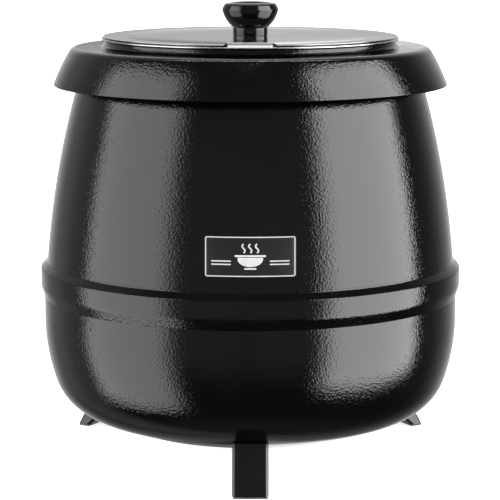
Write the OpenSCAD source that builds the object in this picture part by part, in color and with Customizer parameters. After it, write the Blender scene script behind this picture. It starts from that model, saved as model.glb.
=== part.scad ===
// Electric soup kettle: painted steel shells round a wet-heat water pan, a lift-out steel inset pot,
// a lid hinged across its middle with a ladle notch, and three flared feet.
// The origin is on the ground at the middle of the kettle. +Z is up and the front is at -Y.

/* [Shells] */
// Diameter over the band where the two shells meet
body_d = 340; // [336:1:342]
// Thickness of the painted steel sheet
sheet = 1.2; // [0.9:0.1:1.5]
// Height of the upper edge of the band
band_top_z = 153.6; // [151:0.2:155]
// Height of the lower edge of the band
band_low_z = 142; // [140:0.5:143]
// Height of the seam between the upper and the lower shell
seam_z = 130; // [129:0.5:131]
// Height of the water pan's flange seat on top of the upper shell
seat_z = 325; // [324:0.5:326]

/* [Collar] */
// Height of the collar's flat top
collar_z = 330; // [329.5:0.5:330.5]
// Height of the raised hub that carries the inset pot
hub_z = 335.4; // [334.6:0.2:335.4]
// Outer radius of the raised hub
hub_r = 117; // [116:0.5:117.4]
// Radius of the opening that the pot drops through
collar_bore_r = 112; // [110.5:0.5:112.5]

/* [Pot and pan] */
// Outer radius of the inset pot's wall
pot_r = 109; // [107:0.5:109]
// Height of the underside of the inset pot's floor
pot_floor_z = 62; // [58:1:72]
// Outer radius of the water pan's wall
pan_r = 121; // [119:0.5:121]
// Height of the underside of the water pan's floor
pan_floor_z = 44; // [44:0.5:46]
// Thickness of the pot, the pan and the lid
thin = 1; // [0.8:0.1:1]

/* [Lid] */
// Radius of the lid
lid_r = 119.3; // [118.5:0.1:119.5]
// Height of the top of the lid's rim
lid_top_z = 338.4; // [338.4:0.1:339]
// Half the width of the ladle notch
notch_half = 17.5; // [15:0.5:20]
// Distance of the notch's inner edge in front of the middle
notch_y = 76; // [74:1:80]
// Distance of the knob in front of the middle
knob_y = 47; // [44:1:49]

/* [Feet] */
// Width of a foot
foot_w = 27.8; // [24:0.2:30]
// Radius of a foot's outer face at the ground
foot_out_r = 162.6; // [160:0.2:165]
// Thickness of the rubber pad under a foot
pad_t = 1.6; // [1:0.2:3]

/* [Control] */
// Height of the temperature control on the back of the lower shell
dial_z = 84; // [82:1:86]
// Radius of the round well that the control sits in
well_r = 25; // [23:0.5:25]
// Distance of the well's floor behind the middle
well_y = 150; // [149:0.5:151]

/* [Hidden] */
$fn = 96;
body_r = body_d / 2;
far = 400;

// Upper shell's side: one long arc whose centre lies beyond the axis, closed by a small fillet
side_r = 735;
side_c = [-567.9, 99];
step_z = 163;
seat_fillet = 3;
seat_c = [side_c[0] + sqrt(pow(side_r - seat_fillet, 2) - pow(seat_z - seat_fillet - side_c[1], 2)),
    seat_z - seat_fillet];
seat_in_r = pan_r + 0.8;
band_round = 12;
band_tuck = 16;

// Lower shell: a barrel arc, a tighter corner arc and a cone down to the base opening
barrel_r = 155;
barrel_z = 112;
skin_r = body_r - 2.65;
barrel_c = [skin_r - barrel_r, barrel_z];
corner_r = 45;
corner_turn = 18.86;
corner_c = [barrel_c[0] + (barrel_r - corner_r) * cos(corner_turn),
    barrel_c[1] - (barrel_r - corner_r) * sin(corner_turn)];
cone_slope = 19.2;
base_z = 24.6;
lip_in_r = 92;
tuck_r = body_r - 4.4;
tuck_top_z = 148;

// Collar: a long arc for the skirt and a fillet up to the flat top
collar_round = 7;
collar_flat_r = 139.2;
skirt_r = 165;
skirt_turn = 31;
hem_z = 299.7;
hem_w = 4;
hub_fillet = 3.8;
collar_c = [collar_flat_r, collar_z - collar_round];
skirt_c = collar_c - (skirt_r - collar_round) * [cos(skirt_turn), sin(skirt_turn)];
stud_ring_r = pan_r + 4.6;
collar_under_z = collar_z - sheet;
flange_r = stud_ring_r + 2.9;

// Pot bead and lid
bead_z = hub_z + 1.9;
bead_round = 0.7;
lid_dish = 0.6;
lid_dish_r = 91;
lid_flat_z = lid_top_z - lid_dish;
split = 0.3;
lip_h = 4;
lip_reach_r = 106.5;

// Hinge across the lid
pin_r = 1.2;
run = 0.05;
barrel_or = 2.2;
hinge_z = lid_flat_z + 2.4;
hinge_half = 13;
knuckle_half = 4.3;
leaf_w = 14;
rivet_x = 8;
rivet_y = 9;

// Knob, measured from the lid's flat centre
knob_neck_r = 13.6;
knob_h = 29.5;
knob_ring_h = 3.4;
flank_r = 24.35;
flank_c = [-1.8, 28.7];
brow_r = 4.4;
brow_turn = 12.45;
brow_c = flank_c + (flank_r - brow_r) * [cos(brow_turn), -sin(brow_turn)];
cap_r = 13;
knob_bore_r = 2.4;

// Heater stack under the pan
spreader_r = 75;
spreader_t = 3;
element_r = 4;
element_ring_r = 62;
element_z = pan_floor_z - spreader_t - element_r;
clamp_z = element_z - element_r;
clamp_t = 1.5;
rod_r = 2;
rod_ring_r = 88;

// Feet
foot_turns = [270, 30, 150];
foot_heel_r = 151.2;
foot_edge_z = 4.5;
foot_root_out = [141, 39.4];
foot_root_in = [118.5, 31];
foot_screw_r = 2.4;
foot_screw_x = 7;
foot_screw_at = [128, 32.95];
block_turn = 30;
lamp_turn = -16;
gland_turn = 22;
gland_z = 66;
gland_bore_r = 4;
gland_throat_r = 4.8;
wire_r = 1.2;
capillary_r = 0.9;
shaft_r = 3;
dial_off_turn = 135;

function arc(c, r, a0, a1, n) =
    [for (i = [0 : n]) let (a = a0 + (a1 - a0) * i / n) [c[0] + r * cos(a), c[1] + r * sin(a)]];

function smooth(p, q, n) =
    [for (i = [0 : n]) let (t = i / n, s = t * t * (3 - 2 * t))
        [p[0] + (q[0] - p[0]) * s, p[1] + (q[1] - p[1]) * t]];

function bezier(p, n) =
    [for (i = [0 : n]) let (t = i / n, u = 1 - t)
        u * u * u * p[0] + 3 * u * u * t * p[1] + 3 * u * t * t * p[2] + t * t * t * p[3]];

function reverse(v) = [for (i = [len(v) - 1 : -1 : 0]) v[i]];

function left(p, q) = let (d = q - p) [-d[1], d[0]] / norm(d);

// The point beside corner i of an outline, t to its left, mitred
function beside(v, i, t) =
    let (a = left(v[max(i - 1, 0)], v[max(i, 1)]),
        b = left(v[min(i, len(v) - 2)], v[min(i + 1, len(v) - 1)]))
    v[i] + t * (a + b) / (1 + a * b);

function inset(v, t) = [for (i = [0 : len(v) - 1]) beside(v, i, t)];

function side_at(z) = side_c[0] + sqrt(side_r * side_r - pow(z - side_c[1], 2));

upper_outline = concat(
    [[body_r - band_round * (1 - cos(band_tuck))
        - (band_low_z - band_round * sin(band_tuck) - seam_z - 0.2) * tan(band_tuck), seam_z + 0.2]],
    arc([body_r - band_round, band_low_z], band_round, -band_tuck, 0, 5),
    smooth([body_r, band_top_z], [side_at(step_z), step_z], 10),
    arc(side_c, side_r, asin((step_z + 2 - side_c[1]) / side_r),
        atan2(seat_c[1] - side_c[1], seat_c[0] - side_c[0]), 20),
    arc(seat_c, seat_fillet, atan2(seat_c[1] - side_c[1], seat_c[0] - side_c[0]) + 8, 90, 6),
    [[seat_in_r, seat_z]]);

cone_top = corner_c + corner_r * [sin(cone_slope), -cos(cone_slope)];
cone_low_r = cone_top[0] - (cone_top[1] - base_z) / tan(cone_slope);

lower_skin = concat(
    [[cone_low_r, base_z]],
    arc(corner_c, corner_r, cone_slope - 90, -corner_turn, 14),
    arc(barrel_c, barrel_r, -corner_turn + 1.2, 0, 8),
    [[skin_r, seam_z]]);

collar_outline = concat(
    [[skirt_c[0] + skirt_r * cos(asin((hem_z - skirt_c[1]) / skirt_r)) - hem_w, hem_z]],
    arc(skirt_c, skirt_r, asin((hem_z - skirt_c[1]) / skirt_r), skirt_turn, 8),
    arc(collar_c, collar_round, skirt_turn + 8, 90, 7),
    arc([hub_r + hub_fillet, collar_z + hub_fillet], hub_fillet, 270, 180, 7),
    arc([hub_r - 1.3, hub_z - 1.3], 1.3, 0, 90, 5),
    arc([collar_bore_r + 1.3, hub_z - 1.3], 1.3, 90, 180, 5),
    [[collar_bore_r, hub_z - 17]]);

module sheet_ring(outline, t) {
    rotate_extrude()
        polygon(concat(outline, reverse(inset(outline, t))));
}

// Everything inside the lower shell's outer skin
module lower_solid() {
    rotate_extrude()
        polygon(concat([[0, base_z]], lower_skin, [[0, seam_z]]));
}

// A cylinder along +Y from one distance to another
module along_y(r, y0, y1) {
    translate([0, y0, 0])
        rotate([-90, 0, 0])
            cylinder(r = r, h = y1 - y0);
}

module tube(points, r) {
    for (i = [0 : len(points) - 2])
        hull() {
            translate(points[i]) sphere(r = r, $fn = 10);
            translate(points[i + 1]) sphere(r = r, $fn = 10);
        }
}

module at_studs() {
    for (a = [45 : 90 : 315])
        rotate(a) translate([stud_ring_r, 0, 0]) children();
}

module at_rods() {
    for (a = [30, 150, 270])
        rotate(a) translate([rod_ring_r, 0, 0]) children();
}

// Places children on each foot's screw axes, +Z along the screw out of the shell's inside
module at_foot_screws(turns) {
    for (a = turns, s = [-1, 1])
        rotate(a)
            translate([foot_screw_at[0], s * foot_screw_x, foot_screw_at[1]])
                rotate([0, -cone_slope, 0])
                    children();
}

module upper_shell() {
    color([0.05, 0.05, 0.055])
        difference() {
            sheet_ring(upper_outline, sheet);
            at_studs() translate([0, 0, seat_z - 5]) cylinder(r = 1.7, h = 10);
        }
}

module lower_shell() {
    outline = concat([[lip_in_r, base_z]], lower_skin, [[tuck_r, seam_z], [tuck_r, tuck_top_z]]);
    color([0.05, 0.05, 0.055])
        difference() {
            union() {
                sheet_ring(outline, sheet);
                intersection() {
                    lower_solid();
                    translate([0, 0, dial_z]) along_y(well_r + sheet, well_y - sheet, 200);
                }
            }
            translate([0, 0, dial_z]) along_y(well_r, well_y, 200);
            translate([0, 0, dial_z]) along_y(5.1, 140, 200);
            rotate(lamp_turn) translate([0, 0, dial_z]) along_y(5.2, 140, 200);
            rotate(gland_turn) translate([0, 0, gland_z]) along_y(6.6, 140, 200);
            at_foot_screws(foot_turns) translate([0, 0, -5]) cylinder(r = 2.6, h = 10);
        }
}

module collar_ring() {
    color([0.05, 0.05, 0.055])
        sheet_ring(collar_outline, sheet);
}

module collar_studs() {
    color("silver")
        at_studs() translate([0, 0, seat_z - 7]) cylinder(r = 1.5, h = collar_under_z - seat_z + 7);
}

module collar_nuts() {
    color("silver")
        at_studs()
            translate([0, 0, seat_z - sheet - 2.6])
                difference() {
                    cylinder(r = 3, h = 2.6, $fn = 6);
                    translate([0, 0, -1]) cylinder(r = 1.5, h = 5);
                }
}

module collar_gasket() {
    color([0.75, 0.3, 0.2])
        difference() {
            translate([0, 0, seat_z + thin])
                difference() {
                    cylinder(r = flange_r, h = collar_under_z - seat_z - thin);
                    translate([0, 0, -1]) cylinder(r = pan_r, h = 10);
                }
            at_studs() translate([0, 0, seat_z - 5]) cylinder(r = 1.7, h = 12);
        }
}

module water_pan() {
    round_r = 20;
    outline = concat(
        [[0, pan_floor_z]],
        arc([pan_r - round_r, pan_floor_z + round_r], round_r, -90, 0, 8),
        [[pan_r, seat_z], [flange_r, seat_z]]);
    color([0.75, 0.76, 0.78])
        difference() {
            sheet_ring(outline, thin);
            at_studs() translate([0, 0, seat_z - 5]) cylinder(r = 1.7, h = 12);
        }
}

module heat_spreader() {
    color([0.8, 0.8, 0.82])
        translate([0, 0, pan_floor_z - spreader_t])
            difference() {
                cylinder(r = spreader_r, h = spreader_t);
                translate([0, 0, -1]) cylinder(r = 3.2, h = 5);
            }
}

module heating_element() {
    gap = 12;
    end_x = element_ring_r * sin(gap);
    end_y = element_ring_r * cos(gap);
    color([0.3, 0.3, 0.32])
        translate([0, 0, element_z]) {
            rotate(90 + gap)
                rotate_extrude(angle = 360 - 2 * gap)
                    translate([element_ring_r, 0]) circle(r = element_r, $fn = 40);
            for (s = [-1, 1])
                translate([s * end_x, 0, 0]) {
                    along_y(3.4, end_y - 2.5, end_y + 8);
                    along_y(2.4, end_y + 7, 77);
                }
        }
}

module element_clamp() {
    color([0.7, 0.7, 0.72])
        translate([0, 0, clamp_z - clamp_t])
            difference() {
                cylinder(r = 70, h = clamp_t);
                translate([0, 0, -1]) cylinder(r = 3.2, h = 5);
                for (a = [0 : 60 : 300])
                    rotate(a + 30) translate([34, 0, -1]) cylinder(r = 12, h = 5);
            }
}

module clamp_stud() {
    color("silver")
        translate([0, 0, base_z + 2]) cylinder(r = 3, h = pan_floor_z - base_z - 2);
}

module clamp_nut() {
    color("silver")
        translate([0, 0, clamp_z - clamp_t])
            difference() {
                union() {
                    translate([0, 0, -1]) cylinder(r = 7, h = 1);
                    translate([0, 0, -4.6]) cylinder(r = 5.7, h = 3.8, $fn = 6);
                }
                translate([0, 0, -6]) cylinder(r = 3, h = 8);
            }
}

module thermostat_body() {
    color([0.85, 0.83, 0.75])
        translate([0, 0, dial_z])
            difference() {
                union() {
                    translate([-15, 126, -12]) cube([30, well_y - sheet - 126, 24]);
                    along_y(5, well_y - sheet - 1, well_y + 3.2);
                    for (x = [-9, 9])
                        translate([x - 3, 123, -7]) cube([6, 3.5, 0.8]);
                }
                along_y(shaft_r + run, 135.9, 160);
            }
}

module thermostat_nut() {
    color("silver")
        translate([0, 0, dial_z])
            difference() {
                translate([0, well_y + 0.8, 0]) rotate([-90, 0, 0]) cylinder(r = 7, h = 2.2, $fn = 6);
                along_y(5, 140, 160);
            }
}

module capillary_tube() {
    color([0.72, 0.45, 0.3])
        tube(bezier([[46 + capillary_r, 84, pan_floor_z - 3], [74, 88, 36], [14, 132, 30],
            [9, 134, dial_z - 12 - capillary_r]], 14), capillary_r);
}

module sensor_bulb() {
    color([0.72, 0.45, 0.3])
        translate([-5, 84, pan_floor_z - 3]) rotate([0, 90, 0]) cylinder(r = 3, h = 51);
}

module bulb_clip() {
    color("silver")
        translate([20, 84, pan_floor_z - 3])
            rotate([0, 90, 0])
                difference() {
                    union() {
                        cylinder(r = 3.8, h = 10, center = true);
                        translate([-3, -9, -5]) cube([0.8, 18, 10]);
                    }
                    cylinder(r = 3, h = 12, center = true);
                    translate([-13, -20, -10]) cube([10, 40, 20]);
                    translate([-4, -1.5, -10]) cube([3, 3, 20]);
                }
}

module thermal_cutout() {
    color([0.2, 0.2, 0.22])
        rotate(210)
            translate([rod_ring_r, 0, 0]) {
                translate([0, 0, pan_floor_z - 6]) cylinder(r = 8, h = 6);
                for (s = [-1, 1])
                    translate([-3, s * 4 - 0.4, pan_floor_z - 12]) cube([6, 0.8, 7]);
            }
}

module terminal_block() {
    color([0.93, 0.92, 0.88])
        rotate(90 + block_turn)
            translate([84, 0, base_z])
                difference() {
                    translate([-6, -18, 0]) cube([12, 36, 14]);
                    for (y = [-12, 0, 12])
                        translate([0, y, 9]) cylinder(r = 2.6, h = 6);
                }
}

module earth_stud() {
    color([0.8, 0.7, 0.35])
        rotate(250)
            translate([80, 0, base_z]) {
                cylinder(r = 2, h = 11);
                cylinder(r = 4, h = 3.2, $fn = 6);
            }
}

module internal_wires() {
    in = dial_z - 12 - wire_r;
    color([0.8, 0.2, 0.15]) {
        tube(bezier([[-45, 79.5, 34], [-62, 112, 36], [-10, 136, 40], [-10, 137, in]], 12), wire_r);
        tube(bezier([[-34.4, 86, 34], [-25, 94, 34], [-14, 92, 36], [-12.9, 78.2, element_z]], 8), wire_r);
        tube(bezier([[12.9, 78.2, element_z], [15, 104, 30], [-2, 138, 34], [0, 137, in]], 12), wire_r);
        tube(bezier([[40, 138, dial_z], [32, 131, dial_z], [24, 136, dial_z],
            [15 + wire_r, 137, dial_z]], 8), wire_r);
    }
}

module dial_scale_plate() {
    color([0.75, 0.76, 0.78])
        translate([0, 0, dial_z])
            difference() {
                union() {
                    along_y(well_r - 0.6, well_y, well_y + 0.8);
                    for (a = [-135 : 27 : 135])
                        rotate([0, a, 0])
                            translate([-0.5, well_y + 0.7, 19.2]) cube([1, 0.3, 3.6]);
                }
                along_y(5.1, 140, 160);
            }
}

module pilot_lamp_lens() {
    color([0.95, 0.35, 0.1])
        rotate(lamp_turn)
            translate([0, 0, dial_z]) {
                along_y(4, 152, 166.6);
                intersection() {
                    translate([0, 161.8, 0]) sphere(r = 6.2);
                    along_y(4, 166, 170);
                }
            }
}

module pilot_lamp_bezel() {
    color([0.1, 0.1, 0.1])
        rotate(lamp_turn)
            translate([0, 0, dial_z])
                difference() {
                    union() {
                        along_y(5.1, 156, 165);
                        difference() {
                            along_y(6.6, 160, 166.4);
                            rotate(-lamp_turn) translate([0, 0, -dial_z]) lower_solid();
                        }
                    }
                    along_y(4, 150, 170);
                }
}

module cord_gland() {
    color([0.08, 0.08, 0.08])
        rotate(gland_turn)
            translate([0, 0, gland_z])
                difference() {
                    union() {
                        along_y(6.5, 146, 162);
                        difference() {
                            union() {
                                along_y(9, 152, 163.6);
                                translate([0, 163.6, 0]) rotate([-90, 0, 0]) cylinder(r1 = 8, r2 = 6.2, h = 4.4);
                            }
                            rotate(-gland_turn) translate([0, 0, -gland_z]) lower_solid();
                        }
                    }
                    along_y(gland_bore_r, 140, 180);
                    along_y(gland_throat_r, 140, 162);
                }
}

module gland_nut() {
    color([0.08, 0.08, 0.08])
        rotate(gland_turn)
            translate([0, 0, gland_z])
                difference() {
                    translate([0, 149, 0]) rotate([-90, 0, 0]) cylinder(r = 9.5, h = 4.5, $fn = 6);
                    along_y(6.5, 140, 180);
                }
}

module base_plate() {
    color([0.6, 0.6, 0.62])
        translate([0, 0, base_z - sheet])
            difference() {
                cylinder(r = 100, h = sheet);
                at_rods() translate([0, 0, -1]) cylinder(r = rod_r + 0.2, h = 5);
                for (a = [0 : 30 : 330])
                    rotate(a) translate([45, 0, -1]) cylinder(r = 3, h = 5);
            }
}

module tie_rods() {
    color("silver")
        at_rods() translate([0, 0, base_z - 6.5]) cylinder(r = rod_r, h = pan_floor_z - base_z + 6.5);
}

module tie_rod_nuts() {
    color("silver")
        at_rods()
            translate([0, 0, base_z - sheet])
                difference() {
                    union() {
                        translate([0, 0, -0.8]) cylinder(r = 4.5, h = 0.8);
                        translate([0, 0, -4]) cylinder(r = 4, h = 3.4, $fn = 6);
                    }
                    translate([0, 0, -6]) cylinder(r = rod_r, h = 8);
                }
}

// One foot at its place for a turn about +Z: a flared leg that meets the shell's underside
module foot(turn) {
    outline = [[foot_heel_r, pad_t], [foot_out_r, pad_t], [foot_out_r, foot_edge_z],
        foot_root_out, foot_root_in];
    color([0.07, 0.07, 0.075])
        difference() {
            rotate(turn)
                rotate([90, 0, 0])
                    linear_extrude(height = foot_w, center = true)
                        polygon(outline);
            lower_solid();
            at_foot_screws([turn]) translate([0, 0, -12]) cylinder(r = foot_screw_r, h = 14);
        }
}

module foot_front() {
    foot(foot_turns[0]);
}

module foot_rear_left() {
    foot(foot_turns[2]);
}

module foot_rear_right() {
    foot(foot_turns[1]);
}

module foot_screws() {
    skin = sheet + 0.05;
    color("silver")
        at_foot_screws(foot_turns) {
            translate([0, 0, -11]) cylinder(r = foot_screw_r, h = 11 + skin);
            translate([0, 0, skin]) cylinder(r = 4.4, h = 2.4);
        }
}

module foot_pads() {
    inset_w = 0.6;
    color([0.2, 0.2, 0.2])
        for (a = foot_turns)
            rotate(a)
                translate([foot_heel_r + inset_w, -foot_w / 2 + inset_w, 0])
                    cube([foot_out_r - foot_heel_r - 2 * inset_w, foot_w - 2 * inset_w, pad_t]);
}

module name_plate() {
    plate_t = 0.8;
    half_w = 34;
    low_z = 170.2;
    high_z = 200.7;
    corner = 3;
    clear = 0.05;
    skin = arc(side_c, side_r + clear, asin((low_z - 10 - side_c[1]) / side_r),
        asin((high_z + 10 - side_c[1]) / side_r), 8);
    color([0.12, 0.11, 0.1])
        intersection() {
            rotate_extrude()
                polygon(concat(skin, reverse(inset(skin, -plate_t))));
            translate([0, 0, (low_z + high_z) / 2])
                rotate([90, 0, 0])
                    linear_extrude(height = far) {
                        square([2 * half_w, high_z - low_z - 2 * corner], center = true);
                        square([2 * (half_w - corner), high_z - low_z], center = true);
                        for (x = [-1, 1], y = [-1, 1])
                            translate([x * (half_w - corner), y * ((high_z - low_z) / 2 - corner)])
                                circle(r = corner, $fn = 32);
                    }
        }
}

module inset_pot() {
    floor_round = 22;
    neck = 2;
    bead_in = lid_r - 2.1;
    neck_z = hub_z - neck;
    outline = concat(
        [[0, pot_floor_z]],
        arc([pot_r - floor_round, pot_floor_z + floor_round], floor_round, -90, 0, 8),
        arc([pot_r + neck, neck_z], neck, 180, 90, 5),
        arc([lid_r - bead_round, hub_z + bead_round], bead_round, -90, 0, 4),
        arc([lid_r - bead_round, bead_z - bead_round], bead_round, 0, 90, 4),
        arc([bead_in + bead_round, bead_z - bead_round], bead_round, 90, 180, 4),
        [[bead_in, hub_z + thin]],
        arc([pot_r + neck, neck_z], neck + thin, 90, 180, 5),
        arc([pot_r - floor_round, pot_floor_z + floor_round], floor_round - thin, 0, -90, 8),
        [[0, pot_floor_z + thin]]);
    color([0.8, 0.8, 0.82])
        rotate_extrude()
            polygon(outline);
}

// The whole round lid, before it is divided
module lid_disc() {
    flat_r = 112.5;
    edge = thin / 2;
    rotate_extrude()
        polygon(concat(
            [[0, lid_flat_z - thin], [lid_dish_r, lid_flat_z - thin], [flat_r, lid_top_z - thin]],
            arc([lid_r - edge, lid_top_z - edge], edge, -90, 90, 6),
            [[flat_r, lid_top_z], [lid_dish_r, lid_flat_z], [0, lid_flat_z]]));
}

module rivet_pair(y) {
    for (x = [-rivet_x, rivet_x])
        translate([x, y, 0]) {
            translate([0, 0, lid_flat_z - thin]) cylinder(r = 1.2, h = 2 * thin);
            translate([0, 0, lid_flat_z + thin]) cylinder(r = 2.2, h = 0.8);
            translate([0, 0, lid_flat_z - thin - 0.8]) cylinder(r = 2.2, h = 0.8);
        }
}

module rivet_holes(y) {
    for (x = [-rivet_x, rivet_x])
        translate([x, y, lid_flat_z - 3]) cylinder(r = 1.2, h = 8);
}

module lid_rear() {
    color([0.8, 0.8, 0.82])
        difference() {
            lid_disc();
            translate([-far / 2, split - far, 0]) cube([far, far, far]);
            rivet_holes(rivet_y);
        }
}

// The notch's plan, grown by a margin, open towards the rim
module notch_plan(grow) {
    corner = 4 + grow;
    half = notch_half + grow;
    translate([-half, -far / 2]) square([2 * half, far / 2 - notch_y + grow - corner]);
    translate([corner - half, -far / 2]) square([2 * (half - corner), far / 2 - notch_y + grow]);
    for (s = [-1, 1])
        translate([s * (half - corner), -notch_y + grow - corner]) circle(r = corner, $fn = 32);
}

module lid_front() {
    color([0.8, 0.8, 0.82])
        difference() {
            union() {
                difference() {
                    lid_disc();
                    translate([-far / 2, -split, 0]) cube([far, far, far]);
                }
                intersection() {
                    translate([0, 0, lid_flat_z - lip_h]) linear_extrude(height = lip_h - 0.1) notch_plan(thin);
                    translate([0, 0, 300]) cylinder(r = lip_reach_r, h = 60);
                }
            }
            translate([0, 0, 300]) linear_extrude(height = 60) notch_plan(0);
            rivet_holes(-rivet_y);
            translate([0, -knob_y, 300]) cylinder(r = knob_bore_r + 0.2, h = 60);
        }
}

// A hinge leaf on the +Y side with knuckles along the spans given
module hinge_leaf(spans, gaps, bore_r) {
    difference() {
        union() {
            translate([-hinge_half, split, lid_flat_z]) cube([2 * hinge_half, leaf_w - split, thin]);
            for (s = spans)
                translate([s[0], 0, hinge_z]) rotate([0, 90, 0]) cylinder(r = barrel_or, h = s[1] - s[0]);
        }
        for (g = gaps)
            translate([g[0], 0, hinge_z]) rotate([0, 90, 0]) cylinder(r = barrel_or + 0.4, h = g[1] - g[0]);
        translate([-20, 0, hinge_z]) rotate([0, 90, 0]) cylinder(r = bore_r, h = 40);
        rivet_holes(rivet_y);
    }
}

module hinge_leaf_rear() {
    inner = knuckle_half + 0.3;
    color([0.72, 0.72, 0.74])
        hinge_leaf([[-hinge_half, -inner], [inner, hinge_half]], [[-inner, inner]], pin_r);
}

module hinge_leaf_front() {
    outer = knuckle_half;
    color([0.72, 0.72, 0.74])
        mirror([0, 1, 0])
            hinge_leaf([[-outer, outer]], [[-hinge_half - 1, -outer], [outer, hinge_half + 1]], pin_r + run);
}

module hinge_pin() {
    color([0.6, 0.6, 0.62])
        translate([0, 0, hinge_z])
            rotate([0, 90, 0]) {
                cylinder(r = pin_r, h = 2 * hinge_half + 1, center = true);
                for (s = [-1, 1])
                    translate([0, 0, s * (hinge_half + 0.4)]) cylinder(r = 1.9, h = 0.8, center = true);
            }
}

module hinge_rivets_rear() {
    color([0.65, 0.65, 0.67])
        rivet_pair(rivet_y);
}

module hinge_rivets_front() {
    color([0.65, 0.65, 0.67])
        rivet_pair(-rivet_y);
}

module at_knob() {
    translate([0, -knob_y, lid_flat_z]) children();
}

module knob() {
    outline = concat(
        [[0, knob_ring_h + 0.4], [knob_neck_r, knob_ring_h + 0.4]],
        arc(flank_c, flank_r, -acos((knob_neck_r - flank_c[0]) / flank_r), -brow_turn, 10),
        arc(brow_c, brow_r, 4 - brow_turn, 72, 8),
        [[cap_r + 1.5, knob_h], [0, knob_h]]);
    color([0.06, 0.06, 0.06])
        at_knob()
            difference() {
                rotate_extrude() polygon(outline);
                translate([0, 0, knob_h - 1.4]) cylinder(r = cap_r, h = 3);
                cylinder(r = knob_bore_r, h = 18);
            }
}

module knob_base_ring() {
    color([0.06, 0.06, 0.06])
        at_knob()
            difference() {
                union() {
                    cylinder(r = knob_neck_r, h = knob_ring_h);
                    cylinder(r = knob_neck_r - 0.7, h = knob_ring_h + 0.4);
                }
                translate([0, 0, -1]) cylinder(r = knob_bore_r + 0.2, h = 9);
            }
}

module knob_cap() {
    color([0.06, 0.06, 0.06])
        at_knob()
            translate([0, 0, knob_h - 1.4]) cylinder(r = cap_r - 0.1, h = 1.3);
}

module knob_screw() {
    color("silver")
        at_knob() {
            translate([0, 0, -thin]) cylinder(r = knob_bore_r, h = 16 + thin);
            translate([0, 0, -thin - 2.4]) cylinder(r = 4.4, h = 2.4);
        }
}

module control_knob() {
    grips = 20;
    back_y = well_y + 1.4;
    skirt_or = 17;
    grip_or = 14.6;
    color([0.08, 0.08, 0.08])
        translate([0, 0, dial_z])
            difference() {
                union() {
                    along_y(skirt_or, back_y, back_y + 3);
                    along_y(grip_or, back_y + 3, back_y + 14);
                    rotate([0, dial_off_turn, 0])
                        translate([-1, back_y + 2.5, grip_or - 3]) cube([2, 1.5, 4.8]);
                }
                for (i = [0 : grips - 1])
                    rotate([0, (i + 0.5) * 360 / grips, 0])
                        translate([0, 0, grip_or + 0.5]) along_y(1.3, back_y + 3.6, back_y + 20);
                along_y(8, back_y - 1, back_y + 3);
                along_y(shaft_r, back_y - 1, back_y + 10);
            }
}

module dial_shaft() {
    color("silver")
        translate([0, 0, dial_z]) along_y(shaft_r, 136, well_y + 11.4);
}

upper_shell();
lower_shell();
collar_ring();
collar_studs();
collar_nuts();
collar_gasket();
water_pan();
heat_spreader();
heating_element();
element_clamp();
clamp_stud();
clamp_nut();
thermostat_body();
thermostat_nut();
capillary_tube();
sensor_bulb();
bulb_clip();
thermal_cutout();
terminal_block();
earth_stud();
internal_wires();
dial_scale_plate();
pilot_lamp_lens();
pilot_lamp_bezel();
cord_gland();
gland_nut();
base_plate();
tie_rods();
tie_rod_nuts();
foot_front();
foot_rear_left();
foot_rear_right();
foot_screws();
foot_pads();
name_plate();
inset_pot();
lid_rear();
hinge_leaf_rear();
hinge_pin();
hinge_rivets_rear();
lid_front();
hinge_leaf_front();
hinge_rivets_front();
knob();
knob_base_ring();
knob_cap();
knob_screw();
control_knob();
dial_shaft();
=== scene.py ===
"""The looks of a countertop electric soup kettle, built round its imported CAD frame.

Outlines are lists of (radius, height) in millimetres and are turned once round the Z axis.
The front of the kettle is at -Y, +Z is up, and the ground is at z = 0.
"""

import math

import bmesh
import bpy
from mathutils import Matrix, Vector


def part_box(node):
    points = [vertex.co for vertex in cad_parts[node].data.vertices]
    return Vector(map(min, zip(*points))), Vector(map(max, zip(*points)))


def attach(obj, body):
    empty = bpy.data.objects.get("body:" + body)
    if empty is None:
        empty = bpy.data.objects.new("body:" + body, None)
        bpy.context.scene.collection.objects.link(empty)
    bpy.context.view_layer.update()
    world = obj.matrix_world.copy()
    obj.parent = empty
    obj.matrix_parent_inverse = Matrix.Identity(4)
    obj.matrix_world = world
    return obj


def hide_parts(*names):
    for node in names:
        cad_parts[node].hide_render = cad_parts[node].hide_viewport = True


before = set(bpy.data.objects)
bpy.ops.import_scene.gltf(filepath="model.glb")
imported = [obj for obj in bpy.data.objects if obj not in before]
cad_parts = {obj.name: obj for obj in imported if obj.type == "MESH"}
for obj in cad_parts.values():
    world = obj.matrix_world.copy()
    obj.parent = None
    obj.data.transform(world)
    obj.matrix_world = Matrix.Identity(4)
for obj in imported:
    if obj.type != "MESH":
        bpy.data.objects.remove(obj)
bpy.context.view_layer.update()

MM = 0.001
STEPS = 384  # sides of the large turned pieces
SMALL_STEPS = 160  # sides of the knobs and of the scale plate
CREASE = 32  # the angle in degrees over which an edge shows as sharp
CLEAR = 20  # how far a cutting piece runs out past what it cuts


# Sizes that come from the frame, in millimetres

def low(node, axis):
    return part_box(node)[0]["xyz".index(axis)] / MM


def high(node, axis):
    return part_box(node)[1]["xyz".index(axis)] / MM


def middle(node, axis):
    return (low(node, axis) + high(node, axis)) / 2


BODY_R = high("upper_shell", "x")
SEAT_Z = high("upper_shell", "z")
EDGE_Z = low("upper_shell", "z")
SEAM_Z = EDGE_Z - 0.2
BASE_Z = low("lower_shell", "z")
TUCK_TOP_Z = high("lower_shell", "z")
HUB_Z = high("collar_ring", "z")
HEM_Z = low("collar_ring", "z")
POT_FLOOR_Z = low("inset_pot", "z")
BEAD_Z = high("inset_pot", "z")
LID_R = high("lid_rear", "x")
LID_TOP_Z = high("lid_rear", "z")
KNOB_Y = middle("knob", "y")
KNOB_TOP_Z = high("knob", "z")
DIAL_Z = middle("control_knob", "z")

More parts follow.
